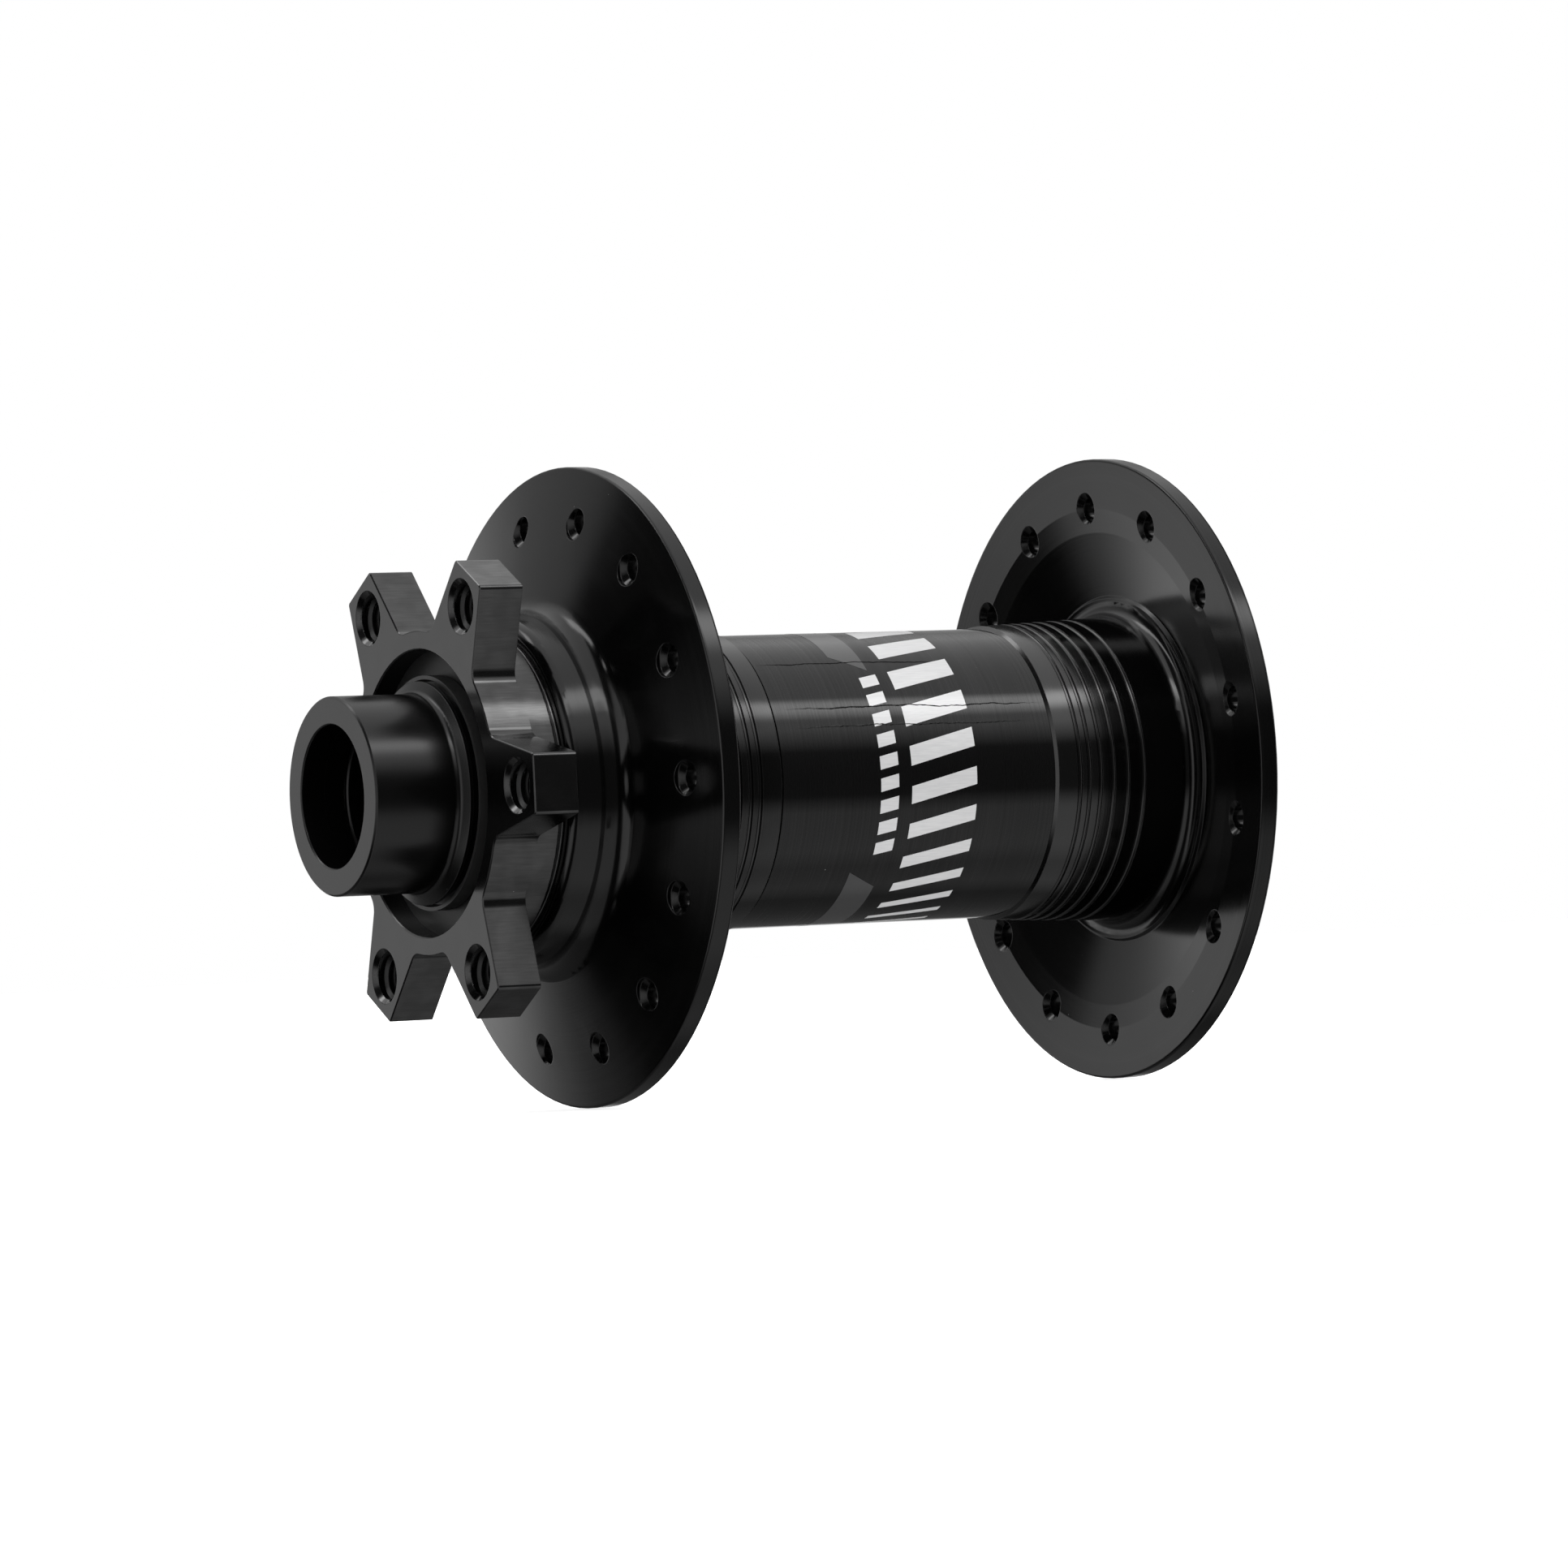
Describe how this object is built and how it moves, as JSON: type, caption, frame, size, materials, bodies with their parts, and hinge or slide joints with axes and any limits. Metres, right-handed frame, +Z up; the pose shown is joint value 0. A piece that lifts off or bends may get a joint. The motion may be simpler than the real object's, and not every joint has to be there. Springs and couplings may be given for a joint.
{
  "type": "bicycle front hub",
  "caption": "Black flanged bicycle front hub for a through axle, with a six-arm disc brake mount, sealed bearings and pull-off end caps.",
  "frame": {"origin": "on the hub's axis, midway between the two end cap faces", "axes": "+Y along the axis to the disc brake side (the rider's left), +X forward, +Z up"},
  "size_m": [0.0682, 0.11, 0.0682],
  "materials": {
    "shell_anodised": "black anodised, satin gloss over turned and milled surfaces",
    "cap_anodised": "black anodised, turned, gloss",
    "axle_anodised": "black anodised, turned",
    "printed_film": "clear-coated printed film",
    "race_steel": "ground bearing steel",
    "ball_steel": "polished bearing steel",
    "cage_plastic": "moulded nylon",
    "seal_rubber": "moulded rubber",
    "wiper_rubber": "moulded rubber, smooth lip",
    "shield_plastic": "moulded plastic"
  },
  "bodies": {
    "axle": {"axle": "axle_anodised", "disc_side_inner_race": "race_steel", "plain_side_inner_race": "race_steel"},
    "shell": {"hub_shell": "shell_anodised", "barrel_film": "printed_film", "disc_side_outer_race": "race_steel", "disc_side_outboard_seal": "seal_rubber", "disc_side_inboard_seal": "seal_rubber", "disc_side_dust_shield": "shield_plastic", "plain_side_outer_race": "race_steel", "plain_side_outboard_seal": "seal_rubber", "plain_side_inboard_seal": "seal_rubber", "plain_side_dust_shield": "shield_plastic"},
    "disc_side_ball_set": {"disc_side_balls": "ball_steel", "disc_side_ball_cage": "cage_plastic"},
    "plain_side_ball_set": {"plain_side_balls": "ball_steel", "plain_side_ball_cage": "cage_plastic"},
    "disc_side_cap": {"disc_side_end_cap": "cap_anodised", "disc_side_wiper_ring": "wiper_rubber", "disc_side_o_ring": "seal_rubber"},
    "plain_side_cap": {"plain_side_end_cap": "cap_anodised", "plain_side_wiper_ring": "wiper_rubber", "plain_side_o_ring": "seal_rubber"}
  },
  "joints": [
    {"name": "hub_spin", "type": "hinge", "parent": "axle", "child": "shell", "pos_m": [0, 0, 0], "axis": [0, 1, 0], "continuous": true},
    {"name": "disc_side_balls_orbit", "type": "hinge", "parent": "axle", "child": "disc_side_ball_set", "pos_m": [0, 0.0377, 0], "axis": [0, 1, 0], "continuous": true},
    {"name": "plain_side_balls_orbit", "type": "hinge", "parent": "axle", "child": "plain_side_ball_set", "pos_m": [0, -0.0427, 0], "axis": [0, 1, 0], "continuous": true},
    {"name": "disc_side_cap_pull", "type": "slide", "parent": "axle", "child": "disc_side_cap", "axis": [0, 1, 0], "range_m": [0, 0.0095]},
    {"name": "plain_side_cap_pull", "type": "slide", "parent": "axle", "child": "plain_side_cap", "axis": [0, -1, 0], "range_m": [0, 0.0068]}
  ],
  "couplings": [
    {"joint": "disc_side_balls_orbit", "follows": "hub_spin", "ratio": 0.5844},
    {"joint": "plain_side_balls_orbit", "follows": "hub_spin", "ratio": 0.5844}
  ]
}
